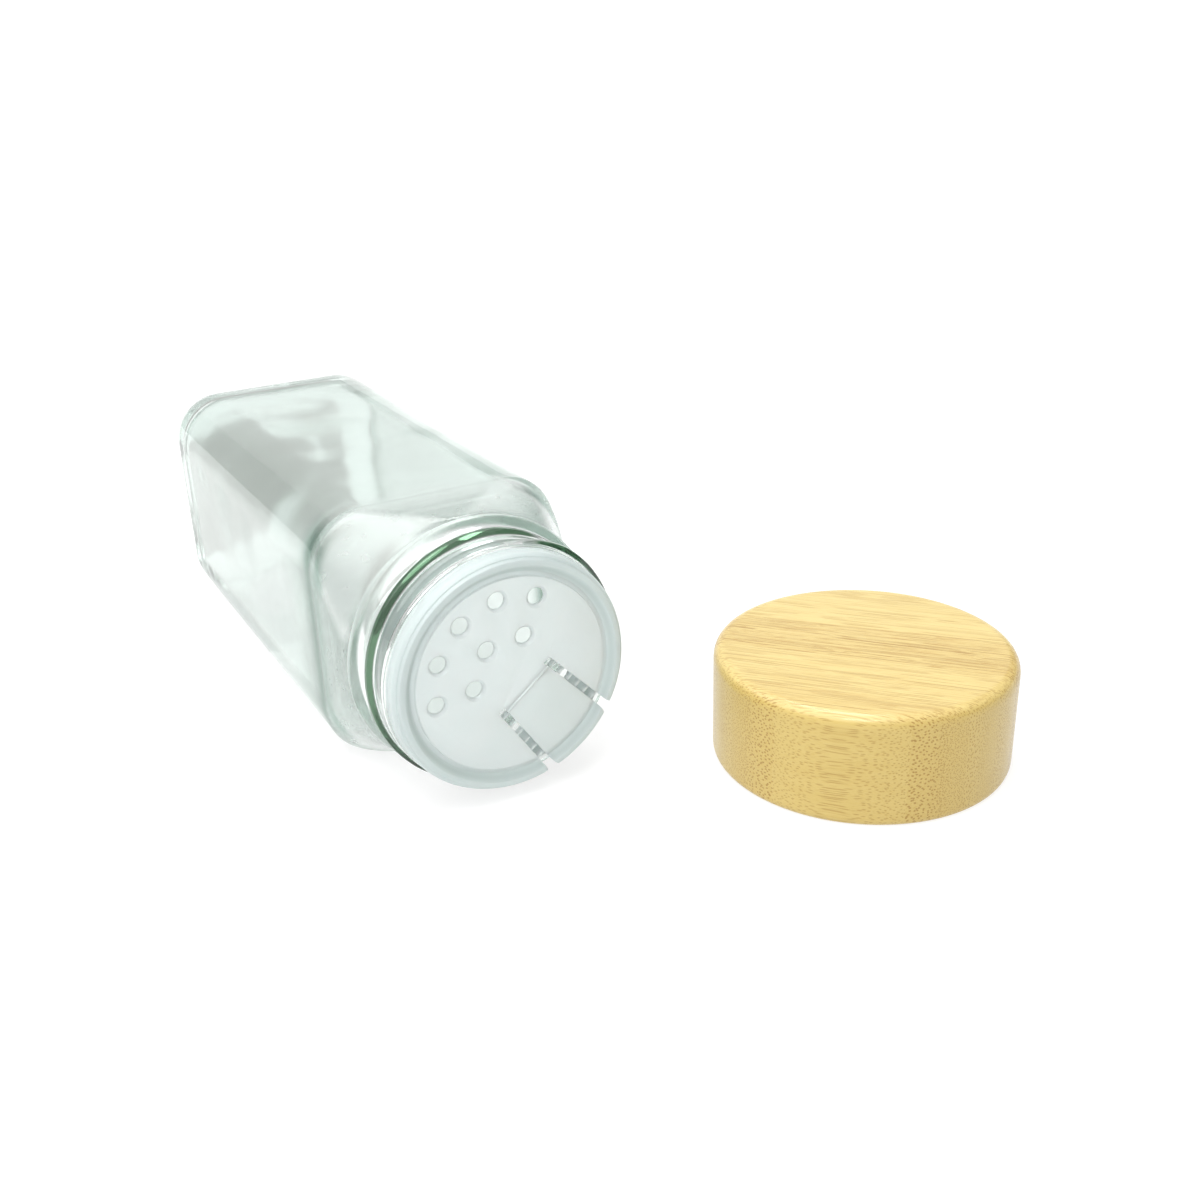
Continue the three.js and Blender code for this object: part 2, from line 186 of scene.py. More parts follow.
# Lid
lid_low, lid_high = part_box("bamboo_lid")
LID = (lid_high.x - lid_low.x) / 2
LID_HEIGHT = lid_high.z - lid_low.z
LID_EDGE = 2.3 * MM
LID_FOOT = 1.4 * MM
LID_STEPS = 10
CAVITY_ROUND = 0.3 * MM
CAVITY_FOOT = 0.35 * MM
liner_low, liner_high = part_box("thread_liner")
LINER = (liner_high.x - liner_low.x) / 2
LINER_WALL = 1.1 * MM
LINER_TOP = 1 * MM
LINER_EDGE = 0.3 * MM
LINER_RINGS = 60
LINER_CREASE = math.radians(50)
LINER_THREAD = 0.85 * MM
LINER_THREAD_FOOT = 1.4 * MM
LINER_THREAD_CREST = 0.6 * MM
GLUE = 0.2 * MM
seal_low, seal_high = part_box("seal_disc")
SEAL = (seal_high.x - seal_low.x) / 2
SEAL_FACE = SEAL * 0.9
SEAL_STEP = SEAL * 0.92
SEAL_STEP_HEIGHT = 0.12 * MM
SEAL_FACE_ROUND = 0.3 * MM
SEAL_EDGE_ROUND = 0.2 * MM

# Laminated bamboo: strips on edge, laid along the grain, with measures in millimetres
GRAIN_ANGLE = math.radians(-48.5)
STRIP = 5.75
SEAM = -22.0
STRIP_LINES = (0.35, 0.75, 0.45, 0.5, 1.0, 0.95, 0.35, 0.3, 0.4)
STRIP_TAN = (0.1, 0.6, 0.25, 0.15, 0.8, 0.75, 0.1, 0.2, 0.15)

# Where the finishes change, in millimetres: start, full, fade and end of each band
HAZE_STATIONS = (3.0, 4.0, 95.0, 100.0)
BEAD_STATIONS = (99.0, 100.5, 103.0, 104.5)
# Painted shade on the sides where the shoulder starts
SHOULDER_SHADE_STATIONS = (81.0, 87.0, 87.2, 89.0)
# Painted shade along the thread
THREAD_SHADE_BAND = (-0.7, -0.3, 0.9, 1.15)
# Painted shade on the inner wall of the insert's groove, as radii
groove_wall = GROOVE_OUTSIDE / MM + 0.5
GROOVE_SHADE_BAND = (groove_wall - 0.8, groove_wall, groove_wall, CREST_INSIDE / MM + 0.2)

# Colours of the finishes
GLASS_BODY = (0.885, 0.945, 0.92)
GLASS_NECK = (0.965, 0.988, 0.977)
# Painted shade on the sides where the shoulder starts
GLASS_SHOULDER_SHADE = (0.13, 0.25, 0.19)
# Painted shade in the thread
GLASS_THREAD_SHADE = (0.012, 0.045, 0.016)
GLASS_DEPTH = (0.15, 0.5, 0.325)
DISC_TONES = ((0.84, 0.93, 0.915), (0.90, 0.965, 0.955))
FLANGE_TONES = ((0.70, 0.79, 0.78), (0.77, 0.845, 0.835))
# Painted shade on the insert's groove wall
PAINTED_GROOVE_SHADE = (0.48, 0.57, 0.55)
BAMBOO_TONES = ((0.655, 0.515, 0.20), (0.58, 0.435, 0.155))
BAMBOO_THREAD = (0.73, 0.59, 0.26)
BAMBOO_CLOUD = (0.57, 0.415, 0.14)
BAMBOO_LINE = (0.42, 0.235, 0.05)
BAMBOO_SIDE = (0.48, 0.335, 0.07)
BAMBOO_BUNDLE = (0.25, 0.115, 0.02)
LINER_TONES = ((0.80, 0.80, 0.775), (0.87, 0.87, 0.85))
FOAM_TONES = ((0.82, 0.815, 0.79), (0.88, 0.88, 0.86))
FOAM_CELL = (0.70, 0.70, 0.67)

# Studio: the floor's rings as radius and rise in metres, and cards as corners in millimetres
FLOOR_RINGS = ((0.2, 0), (0.6, 0), (1.5, 0), (4, 0), (12, 0.4), (25, 2.4), (40, 9))
FLOOR_AROUND = 96
FLOOR_TONE = (0.28, 0.28, 0.28)
FLOOR_GLOW = 0.75
STAGE_ROUGHNESS = 0.9
# Painted shadow: a grey sheet on the floor behind the jar, seen only through the glass
SHADOW_BEHIND_JAR = (
    *((-20, 60, 0.5), (26, 78, 0.5), (39, 119, 0.5), (46, 151, 0.5)),
    *((56, 189, 0.5), (24, 201, 0.5), (-12, 187, 0.5), (-20, 138, 0.5)),
)
# Painted shadow: a grey sheet under the jar's foot, seen only through the glass
SHADOW_UNDER_JAR = ((-27, 5, 0.02), (19, 5, 0.02), (19, 75, 0.02), (0, 125, 0.02), (-27, 125, 0.02))
BACK_CARD = ((-2500, 500, 0), (-200, 1000, 0), (-200, 1000, 600), (-2500, 500, 600))
SIDE_CARD = ((700, -1100, 100), (700, 340, 100), (700, 340, 780), (700, -1100, 780))
SUN_POWER = 2.3
SUN_ANGLE = math.radians(75)
SUN_WAY = Vector((0.42, -0.1, -0.9))
BOX_POWER = 1.2
SKY_POWER = 0.78
BOUNCES = {"max_bounces": 48, "glossy_bounces": 40, "transmission_bounces": 48}

# Camera of the photograph
CAMERA_PLACE = Vector((-75.784, -229.868, 113.31)) * MM
CAMERA_YAW = 0.506
CAMERA_PITCH = 0.424
CAMERA_ROLL = 0.032
FOCAL_PIXELS = 1339.88
IMAGE_PIXELS = 1200
OPTICAL_AXIS = (596.42, 607.12)
SENSOR = 36
NEAREST = 0.01

AROUND = 192
ON_AXIS = 1e-9
MOST_CUT = 0.49

# Places of the pieces' own axes: the jar's Z runs to its mouth, Y is up and X is to the right
JAR_PLACE = Matrix.Translation((0, jar_high.y, (jar_low.z + jar_high.z) / 2)) @ Matrix(
    ((1, 0, 0, 0), (0, 0, -1, 0), (0, 1, 0, 0), (0, 0, 0, 1))
)
INSERT_PLACE = JAR_PLACE @ Matrix.Rotation(FLAP_ANGLE, 4, "Z")
lid_middle = (lid_low + lid_high) / 2
LID_PLACE = Matrix.Translation((lid_middle.x, lid_middle.y, lid_low.z))
LID_PLACE = LID_PLACE @ Matrix.Rotation(GRAIN_ANGLE, 4, "Z")


class Wire:
    """An output in a finish's node tree. Arithmetic on it adds Math nodes."""

    def __init__(self, finish, output):
        self.finish = finish
        self.output = output

    def math(self, operation, *values):
        """Math node on these values, or on this wire alone."""
        sockets = dict(enumerate(values or (self,)))
        return self.finish.node("ShaderNodeMath", {"operation": operation}, sockets)

    def __add__(self, other):
        return self.math("ADD", self, other)

    def __sub__(self, other):
        return self.math("SUBTRACT", self, other)

    def __rsub__(self, other):
        return self.math("SUBTRACT", other, self)

    def __mul__(self, other):
        return self.math("MULTIPLY", self, other)

    def __truediv__(self, other):
        return self.math("DIVIDE", self, other)

    def __pow__(self, other):
        return self.math("POWER", self, other)

    __radd__ = __add__
    __rmul__ = __mul__


class Finish:
    """The node tree of one finish."""

    def __init__(self, name):
        self.material = bpy.data.materials.new(name)
        self.material.use_nodes = True
        self.tree = self.material.node_tree
        self.tree.nodes.clear()

    def node(self, kind, settings=None, sockets=None, output=0):
        made = self.tree.nodes.new(kind)
        for key, value in (settings or {}).items():
            if key == "stops":
                self.set_stops(made.color_ramp, value)
            else:
                setattr(made, key, value)
        for key, value in (sockets or {}).items():
            if isinstance(value, Wire):
                self.tree.links.new(value.output, made.inputs[key])
            else:
                made.inputs[key].default_value = value
        return Wire(self, made.outputs[output])

    def set_stops(self, ramp, stops):
        ramp.interpolation = "CONSTANT"
        while len(ramp.elements) < len(stops):
            ramp.elements.new(1)
        for element, (position, value) in zip(ramp.elements, stops):
            element.position = position
            element.color = (value, value, value, 1)

    def levels(self, factor, values):
        """Grey value that steps evenly through values as a factor goes from 0 to 1."""
        stops = [(k / len(values), value) for k, value in enumerate(values)]
        return self.node("ShaderNodeValToRGB", {"stops": stops}, {"Fac": factor})

    def mix(self, factor, first, second):
        """Colour between two colours."""
        sockets = {0: factor}
        for key, colour in ((6, first), (7, second)):
            sockets[key] = colour if isinstance(colour, Wire) else (*colour, 1)
        return self.node("ShaderNodeMix", {"data_type": "RGBA"}, sockets, 2)

    def place(self):
        """Position on the piece's own axes, in millimetres: X, Y and Z."""
        spot = self.node("ShaderNodeTexCoord", output=3)
        apart = self.node("ShaderNodeSeparateXYZ", None, {0: spot})
        outputs = apart.output.node.outputs
        return [Wire(self, out) / MM for out in outputs]

    def point(self, x, y, z):
        return self.node("ShaderNodeCombineXYZ", None, {0: x, 1: y, 2: z})

    def spot(self):
        """Position on the piece's own axes as one vector."""
        return self.point(*self.place())

    def noise(self, spot, scale, detail=2.0, roughness=0.5):
        sockets = {"Vector": spot, "Scale": scale, "Detail": detail, "Roughness": roughness}
        return self.node("ShaderNodeTexNoise", {"noise_dimensions": "3D"}, sockets)

    def corner_distance(self, x, y, start):
        """Distance out from a square of half-width start, round its corners too."""
        out = []
        for side in (x, y):
            past = side.math("ABSOLUTE") - start
            out.append(past.math("MAXIMUM", past, 0.0))
        return (out[0] * out[0] + out[1] * out[1]) ** 0.5

    def smooth(self, value, low, high):
        """0 below low and 1 above high, with a soft step between."""
        settings = {"interpolation_type": "SMOOTHSTEP"}
        sockets = {"Value": value, "From Min": low, "From Max": high}
        return self.node("ShaderNodeMapRange", settings, sockets)

    def band(self, value, start, full, fade, end):
        """1 from full to fade, with soft steps to 0 at start and end."""
        return self.smooth(value, start, full) * (1 - self.smooth(value, fade, end))

    def bump(self, height, depth):
        sockets = {"Height": height, "Distance": depth, "Strength": 1.0}
        return self.node("ShaderNodeBump", None, sockets)

    def surface(self, sockets):
        """Ends the tree in one principled shader with these sockets."""
        shader = self.node("ShaderNodeBsdfPrincipled", None, sockets)
        self.end = self.tree.nodes.new("ShaderNodeOutputMaterial")
        self.tree.links.new(shader.output, self.end.inputs["Surface"])

    def volume(self, colour, density):
        sockets = {"Color": (*colour, 1), "Density": density}
        shader = self.node("ShaderNodeVolumeAbsorption", None, sockets)
        self.tree.links.new(shader.output, self.end.inputs["Volume"])


def clear_glass():
    """Pale green glass, hazy inside, with painted shade on the thread and shoulder sides."""
    finish = Finish("pale_green_glass")
    x, y, z = finish.place()
    spot = finish.point(x, y, z)
    cloud = finish.noise(spot, 0.35, 3)
    ripple = finish.noise(spot, 0.07, 1)
    inside = 1 - finish.smooth(finish.corner_distance(x, y, 12.0), 8.5, 9.0)
    inside = inside * finish.band(z, *HAZE_STATIONS)
    inside = inside * (1 + finish.smooth(z, 83.0, 89.0) * 2.0)
    # Painted shade: a dark green band along the thread's ridge, faded in and out at its ends
    travel = (THREAD_START - y.math("ARCTAN2", y, x)) / (2 * math.pi) + 1.0
    travel = travel.math("FRACT")
    above = z - (THREAD_TOP / MM - travel * (THREAD_PITCH / MM))
    first = finish.band(above, *THREAD_SHADE_BAND)
    last = finish.band(above + THREAD_PITCH / MM, *THREAD_SHADE_BAND)
    thick = first * finish.smooth(travel, 0.0, 0.05)
    thick = thick + last * (1 - finish.smooth(travel, 0.05, 0.1))
    radius = (x * x + y * y) ** 0.5
    thick = thick * finish.smooth(radius, NECK / MM + 0.02, NECK / MM + 0.1)
    bead = finish.band(z, *BEAD_STATIONS)
    bead = bead * finish.smooth(radius, NECK / MM + 0.2, NECK / MM + 0.6)
    # Painted shade: a darker green line on the sides where the walls meet the shoulder
    shoulder = finish.band(z, *SHOULDER_SHADE_STATIONS)
    shoulder = shoulder * finish.smooth(x.math("ABSOLUTE"), 15.0, 20.0)
    tone = finish.mix(finish.smooth(z, 82.0, 92.0), GLASS_BODY, GLASS_NECK)
    tone = finish.mix(shoulder, tone, GLASS_SHOULDER_SHADE)
    polish = finish.smooth(cloud, 0.45, 0.85) * 0.03 + 0.02
    finish.surface(
        {
            "Base Color": finish.mix(thick, tone, GLASS_THREAD_SHADE),
            "Roughness": polish + inside * 0.08 + bead * 0.2,
            "IOR": 1.5,
            "Transmission Weight": 1.0,
            "Normal": finish.bump(ripple, 0.06 * MM),
        }
    )
    finish.volume(GLASS_DEPTH, 5.0)
    return finish.material


def milky_plastic(name, clearness, light):
    """Translucent moulding whose thick flange looks deeper than its disc."""
    finish = Finish(name)
    x, y, z = finish.place()
    spot = finish.point(x, y, z)
    cloud = finish.noise(spot, 0.22, 3)
    grain = finish.noise(spot, 7.0, 2)
    radius = (x * x + y * y) ** 0.5
    flange = finish.smooth(radius, DISC_EDGE / MM, CREST_INSIDE / MM)
    # light scales the disc's tones: below 1 as painted shade, above 1 as a painted highlight
    disc_tones = [[c * light for c in tone] for tone in DISC_TONES]
    tone = finish.mix(flange, finish.mix(cloud, *disc_tones), finish.mix(cloud, *FLANGE_TONES))
    finish.surface(
        {
            # Painted shade: the groove's inner wall is darkened all round
            "Base Color": finish.mix(finish.band(radius, *GROOVE_SHADE_BAND) * 0.5, tone, PAINTED_GROOVE_SHADE),
            "Roughness": 0.26 + cloud * 0.16,
            "IOR": 1.49,
            "Transmission Weight": clearness,
            "Subsurface Weight": 0.5,
            "Subsurface Radius": (1.0, 1.0, 1.0),
            "Subsurface Scale": 1.5 * MM,
            "Normal": finish.bump(grain, 0.012 * MM),
        }
    )
    return finish.material


def lacquered_bamboo():
    """Bamboo strips with fibre lines along the grain and fibre bundles across it."""
    finish = Finish("lacquered_bamboo")
    along, across, up = finish.place()
    sway = finish.noise(finish.point(along * 0.05, across * 0.12, up * 0.12), 1.0, 2)
    lift = finish.noise(finish.point(along * 0.07, across * 0.5, up * 0.2 + 9.0), 1.0, 2)
    strip = (across - SEAM) / STRIP
    index = strip.math("FLOOR")
    part = strip.math("FRACT")
    spot_across = across + sway * 0.7
    spot_up = up + lift * 1.4 + index * 3.7
    place = (strip + 1.0) / len(STRIP_LINES)
    dense = finish.levels(place, STRIP_LINES)
    tan = finish.levels(place, STRIP_TAN)

    def bundles(wide, high, size):
        """Fibre bundles that run along the grain, 1 in their middles and 0 between them."""
        spot = finish.point(spot_across * wide, spot_up * high, 0.0)
        settings = {"voronoi_dimensions": "2D", "feature": "F1"}
        sockets = {"Vector": spot, "Scale": 1.0, "Randomness": 0.9}
        cells = finish.node("ShaderNodeTexVoronoi", settings, sockets)
        return 1 - finish.smooth(cells - size, -0.1, 0.1)

    coarse = bundles(2.9, 1.75, 0.25 - part * 0.06) * (1 - finish.smooth(part, 0.35, 0.8))
    fine = bundles(3.7, 2.35, 0.22) * finish.smooth(part, 0.25, 0.6) * 0.85
    dots = coarse.math("MAXIMUM", coarse, fine)
    fibre = finish.noise(finish.point(along * 0.007, across, spot_up), 8.0, 3, 0.6)
    thread = finish.noise(finish.point(along * 0.05, across, up), 10.0, 2)
    cloud = finish.noise(finish.point(along * 0.08, across * 0.6, up * 0.6), 0.8, 2)
    lines = finish.smooth(fibre, 0.5, 0.64) * dense
    turned_side = 1 - finish.smooth(up, LID_HEIGHT / MM - 1.2, LID_HEIGHT / MM - 0.2)
    tone = finish.mix(tan, *BAMBOO_TONES)
    tone = finish.mix(finish.smooth(thread, 0.35, 0.7) * 0.3, tone, BAMBOO_THREAD)
    tone = finish.mix(finish.smooth(cloud, 0.4, 0.7) * 0.3, tone, BAMBOO_CLOUD)
    tone = finish.mix(lines * 0.72, tone, BAMBOO_LINE)
    tone = finish.mix(turned_side * 0.5, tone, BAMBOO_SIDE)
    tone = finish.mix(dots * (0.3 + dense * 0.4), tone, BAMBOO_BUNDLE)
    grain = fibre * 0.5 + thread * 0.3 - dots * 0.8
    finish.surface(
        {
            "Base Color": tone,
            "Roughness": 0.38 + dots * 0.15 + thread * 0.1,
            "IOR": 1.5,
            "Specular IOR Level": 0.25,
            "Coat Weight": 0.6 - dots * 0.25,
            "Coat Roughness": 0.14,
            "Normal": finish.bump(grain, 0.03 * MM),
        }
    )
    return finish.material


def white_plastic():
    finish = Finish("white_liner_plastic")
    spot = finish.spot()
    cloud = finish.noise(spot, 0.25, 3)
    grain = finish.noise(spot, 6.0, 2)
    finish.surface(
        {
            "Base Color": finish.mix(cloud, *LINER_TONES),
            "Roughness": 0.36 + cloud * 0.18,
            "Normal": finish.bump(grain, 0.012 * MM),
        }
    )
    return finish.material


def sealing_foam():
    finish = Finish("sealing_foam")
    spot = finish.spot()
    sockets = {"Vector": spot, "Scale": 3.2}
    cells = finish.node("ShaderNodeTexVoronoi", {"feature": "F1"}, sockets)
    cloud = finish.noise(spot, 0.3, 3)
    finish.surface(
        {
            "Base Color": finish.mix(cells * 0.3, finish.mix(cloud, *FOAM_TONES), FOAM_CELL),
            "Roughness": 0.7 + cloud * 0.2,
            "Normal": finish.bump(cells, 0.06 * MM),
        }
    )
    return finish.material


def new_object(name, points, faces, place):
    """A closed, smooth mesh from points on the piece's own axes."""
    mesh = bpy.data.meshes.new(name)
    mesh.from_pydata([tuple(p) for p in points], [], faces)
    work = bmesh.new()
    work.from_mesh(mesh)
    bmesh.ops.recalc_face_normals(work, faces=work.faces)
    work.to_mesh(mesh)
    work.free()
    mesh.shade_smooth()
    made = bpy.data.objects.new(name, mesh)
    made.matrix_world = place
    bpy.context.scene.collection.objects.link(made)
    return made


def finished(made, material, body, node=None):
    """Gives a piece its finish and its body, and hides the node that it stands for."""
    made.data.materials.clear()
    made.data.materials.append(material)
    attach(made, body)
    if node:
        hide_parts(node)


def skin(rings):
    """Points and faces of a closed surface over rings of points, each end drawn to its middle."""
    rings = np.asarray(rings)
    count, around = rings.shape[:2]
    points = list(rings.reshape(-1, 3)) + [rings[0].mean(0), rings[-1].mean(0)]
    faces = []
    for i in range(around):
        j = (i + 1) % around
        for k in range(count - 1):
            near, far = k * around, (k + 1) * around
            faces.append((near + i, near + j, far + j, far + i))
        last = (count - 1) * around
        faces.append((count * around, j, i))
        faces.append((count * around + 1, last + i, last + j))
    return points, faces


def turned(profile, around=AROUND):
    """Points and faces of a closed body turned from a loop of (radius, height) points."""
    turns = np.arange(around) * 2 * math.pi / around
    points = []
    rows = []
    for radius, height in profile:
        if radius < ON_AXIS:
            rows.append([len(points)] * around)
            points.append((0, 0, height))
        else:
            rows.append(list(range(len(points), len(points) + around)))
            points += [(radius * math.cos(t), radius * math.sin(t), height) for t in turns]
    faces = []
    for near, far in zip(rows, rows[1:] + rows[:1]):
        for i in range(around):
            j = (i + 1) % around
            face = list(dict.fromkeys((near[i], near[j], far[j], far[i])))
            if len(face) > 2:
                faces.append(face)
    return points, faces


def softened(corners, steps=4):
    """Loop of points through (across, up, radius) corners, each rounded off by its radius."""
    path = []
    count = len(corners)
    for k, (across, up, radius) in enumerate(corners):
        here = Vector((across, up))
        if radius == 0:
            path.append(here)
            continue
        back = Vector(corners[k - 1][:2]) - here
        on = Vector(corners[(k + 1) % count][:2]) - here
        cut = radius / math.tan(back.angle(on) / 2)
        start = here + back.normalized() * min(cut, back.length * MOST_CUT)
        end = here + on.normalized() * min(cut, on.length * MOST_CUT)
        for step in range(steps + 1):
            t = step / steps
            path.append(start * (1 - t) ** 2 + here * 2 * t * (1 - t) + end * t * t)
    return path


def prism(outline, low, high):
    """Points and faces of an outline in X and Y carried from one height to another."""
    count = len(outline)
    points = [(x, y, height) for height in (low, high) for x, y in outline]
    faces = [list(range(count))[::-1], list(range(count, 2 * count))]
    for i in range(count):
        j = (i + 1) % count
        faces.append((i, j, count + j, count + i))
    return points, faces


def baked(made):
    """Applies the modifiers of a piece to its mesh."""
    view = bpy.context.evaluated_depsgraph_get()
    mesh = bpy.data.meshes.new_from_object(made.evaluated_get(view))
    made.modifiers.clear()
    made.data = mesh


def carved(made, tool, operation="DIFFERENCE"):
    """Cuts a tool out of a piece, or keeps what lies in it, and clears the tool away."""
    cut = made.modifiers.new("cut", "BOOLEAN")
    cut.object = tool
    cut.operation = operation
    cut.solver = "EXACT"
    baked(made)
    bpy.data.objects.remove(tool)


def edged(made, width):
    """Breaks the sharp edges of a piece and leaves its round faces smooth."""
    work = bmesh.new()
    work.from_mesh(made.data)
    bmesh.ops.remove_doubles(work, verts=work.verts, dist=WELD)
    bmesh.ops.dissolve_limit(work, angle_limit=FLAT_ANGLE, verts=work.verts, edges=work.edges)
    work.to_mesh(made.data)
    work.free()
    bevel = made.modifiers.new("edge", "BEVEL")
    bevel.width = width
    bevel.segments = 2
    bevel.limit_method = "ANGLE"
    bevel.angle_limit = EDGE_ANGLE
    baked(made)
    work = bmesh.new()
    work.from_mesh(made.data)
    bmesh.ops.remove_doubles(work, verts=work.verts, dist=EDGE_WELD)
    bmesh.ops.dissolve_degenerate(work, edges=work.edges, dist=EDGE_WELD)
    work.to_mesh(made.data)
    work.free()
    made.data.shade_smooth()
    made.data.set_sharp_from_angle(angle=CREASE_ANGLE)


def square_reach(half, corner, turns):
    """Distance from the axis to a rounded square, in each direction."""
    x = np.abs(np.cos(turns))
    y = np.abs(np.sin(turns))
    centre = half - corner
    flat = half / np.maximum(x, y)
    across = centre * (x - y)
    bend = centre * (x + y) + np.sqrt(np.maximum(corner**2 - across**2, 0))
    return np.where(np.minimum(x, y) * flat <= centre, flat, bend)


def ridge(turns, station, start, top, foot, crest, proud):
    """Height of a screw ridge over its wall, in each direction at one station."""
    height = np.zeros_like(turns)
    for lap in range(2):
        travel = ((start - turns) % (2 * math.pi)) / (2 * math.pi) + lap
        offset = np.abs(station - (top - travel * THREAD_PITCH))
        slope = np.clip((foot / 2 - offset) / ((foot - crest) / 2), 0, 1)
        slope = (slope + slope * slope * (3 - 2 * slope)) / 2
        fade = np.sin(np.clip(travel / THREAD_TURNS, 0, 1) * math.pi)
        fade = np.clip(fade * THREAD_FADE, 0, 1)
        height = np.maximum(height, proud * slope * fade)
    return height


def jar_turns():
    """Directions round the jar, closer together at its four corners."""
    even = np.arange(AROUND) * 2 * math.pi / AROUND
    return even + CORNER_CROWDING * np.sin(4 * even)


def heel_rings(base, half, corner, round_off, steps=10):
    """Stations, half-widths and corner radii of a rounded heel, from the base outwards."""
    for step in range(steps + 1):
        turn = (1 - step / steps) * math.pi / 2
        inset = round_off * (1 - math.cos(turn))
        station = base + round_off * (1 - math.sin(turn))
        yield station, half - inset, max(corner - inset, HEEL_LEAST_CORNER)


def shoulder_rings(half, corner, radius, end, steps=22):
    """Stations, half-widths and corner radii from the square body to the round neck."""
    for step in range(1, steps + 1):
        share = (step / steps) ** SHOULDER_CROWDING
        blend = share**SHOULDER_CURVE
        yield (
            BODY_END + (end - BODY_END) * share,
            half + (radius - half) * blend,
            corner + (radius - corner) * blend,
        )


def eased(share):
    """0 to 1 with a soft start and end."""
    share = np.clip(share, 0, 1)
    return share * share * (3 - 2 * share)


def wave(points, size, depth):
    """Sinks points towards the jar's axis by a slow wave, as blown glass does."""
    for point in points:
        swell = 0.5 + 0.5 * noise.noise(Vector(point) / size)
        away = Vector((point[0], point[1], 0)).normalized()
        point[:2] -= np.array(away[:2]) * depth * swell


def glass_jar():
    """Points and faces of the jar, from its base over the lip to its inside."""
    turns = jar_turns()
    circle = np.stack([np.cos(turns), np.sin(turns)], 1)

    def ring(station, reach):
        return np.column_stack([circle * reach[:, None], np.full(AROUND, station)])

    def squares(sizes):
        return [ring(s, square_reach(half, corner, turns)) for s, half, corner in sizes]

    def rounds(sizes):
        return [ring(s, np.full(AROUND, radius)) for s, radius in sizes]

    shares = [k / BASE_RINGS for k in range(1, BASE_RINGS + 1)]
    kick = [(KICK_DEPTH * (1 - share * share), KICK_RADIUS * share) for share in shares]
    body = [(s, HALF, CORNER) for s in np.linspace(HEEL, BODY_END, BODY_RINGS)[1:]]
    foot = squares(heel_rings(0, HALF, CORNER, HEEL))
    fillet_end = SHOULDER_END - NECK_FILLET
    shoulder = shoulder_rings(HALF, CORNER, NECK + NECK_FILLET, fillet_end)
    sides = squares(body) + squares(shoulder)
    neck = []
    for s in np.linspace(fillet_end, LIP - LIP_ROUND, NECK_RINGS)[1:]:
        reach = np.full(AROUND, NECK)
        reach += NECK_FILLET * math.exp(-(s - fillet_end) / NECK_FILLET)
        side = (s - BEAD_MIDDLE) / (BEAD_FRONT if s > BEAD_MIDDLE else BEAD_BACK)
        reach += BEAD_PROUD * (1 + math.cos(np.clip(side, -1, 1) * math.pi)) / 2
        reach += ridge(
            turns, s, THREAD_START, THREAD_TOP, THREAD_FOOT, THREAD_CREST, THREAD_PROUD
        )
        neck.append(ring(s, reach))
    lip = []
    middle = (NECK + BORE) / 2
    width = (NECK - BORE) / 2
    for step in range(1, LIP_RINGS + 1):
        turn = step / LIP_RINGS * math.pi
        station = LIP - LIP_ROUND + LIP_ROUND * math.sin(turn)
        lip.append((station, middle + width * math.cos(turn)))
    inner_half = HALF - WALL
    inner_neck = []
    for s in np.linspace(LIP - LIP_ROUND, INSIDE_SQUARE, INSIDE_NECK_RINGS)[1:]:
        half = np.interp(s + INSIDE_SOFTNESS, INSIDE_STATIONS, INSIDE_RADII).mean()
        square = eased((SHOULDER_END - s) / (SHOULDER_END - INSIDE_SQUARE))
        inner_neck.append((s, half, half + (INSIDE_CORNER - half) * square))
    inner_body = [
        (s, inner_half, INSIDE_CORNER)
        for s in np.linspace(INSIDE_SQUARE, BASE + INSIDE_HEEL, INSIDE_BODY_RINGS)[1:]
    ]
    inner_heel = list(heel_rings(BASE, inner_half, INSIDE_CORNER, INSIDE_HEEL))[::-1][1:]
    inner_base = [
        (BASE, (inner_half - INSIDE_HEEL) * share, (INSIDE_CORNER - INSIDE_HEEL) * share)
        for share in shares[-2::-1]
    ]
    for points in sides[:-STILL_RINGS]:
        wave(points, WAVE_SIZE, OUTER_WAVE)
    hollow = squares(inner_neck + inner_body + inner_heel + inner_base)
    for points in hollow:
        settled = eased((SHOULDER_END - points[0][2]) / WAVE_SIZE)
        wave(points, WAVE_SIZE, INNER_WAVE * settled)
        wave(points, RIPPLE_SIZE, INNER_RIPPLE * settled)
    return skin(rounds(kick) + foot + sides + neck + rounds(lip) + hollow)


def sifter_loop(underside):
    """Loop of the disc and the flange, with what hangs under them listed from the inside out."""
    groove = DISC_FACE - GROOVE_DEPTH
    return softened(
        [
            (0, DISC_BACK, 0),
            *underside,
            (FLANGE, FLANGE_FOOT, FINE_ROUND),
            (FLANGE, RIM_STEP_LOW, STEP_ROUND),
            (FLANGE - RIM_STEP, RIM_STEP_HIGH, STEP_ROUND),
            (FLANGE - RIM_STEP, RIM_TOP, RIM_ROUND),
            (*LEDGE[0], STEP_ROUND),
            (*LEDGE[1], STEP_ROUND),
            (CREST_OUTSIDE, CREST - CREST_FALL, CREST_ROUND),
            (CREST_INSIDE, CREST, CREST_ROUND),
            (GROOVE_OUTSIDE, groove, FINE_ROUND),
            (DISC_EDGE + GROOVE_SLOPE, groove, FINE_ROUND),
            (DISC_EDGE, DISC_FACE, FINE_ROUND),
            (0, DISC_FACE, 0),
        ]
    )


def flap_half(distance):
    """Half the flap's width at a distance from the middle of the disc."""
    share = (distance - HINGE) / (FLANGE - HINGE)
    return FLAP_HINGE_HALF + (FLAP_RIM_HALF - FLAP_HINGE_HALF) * share


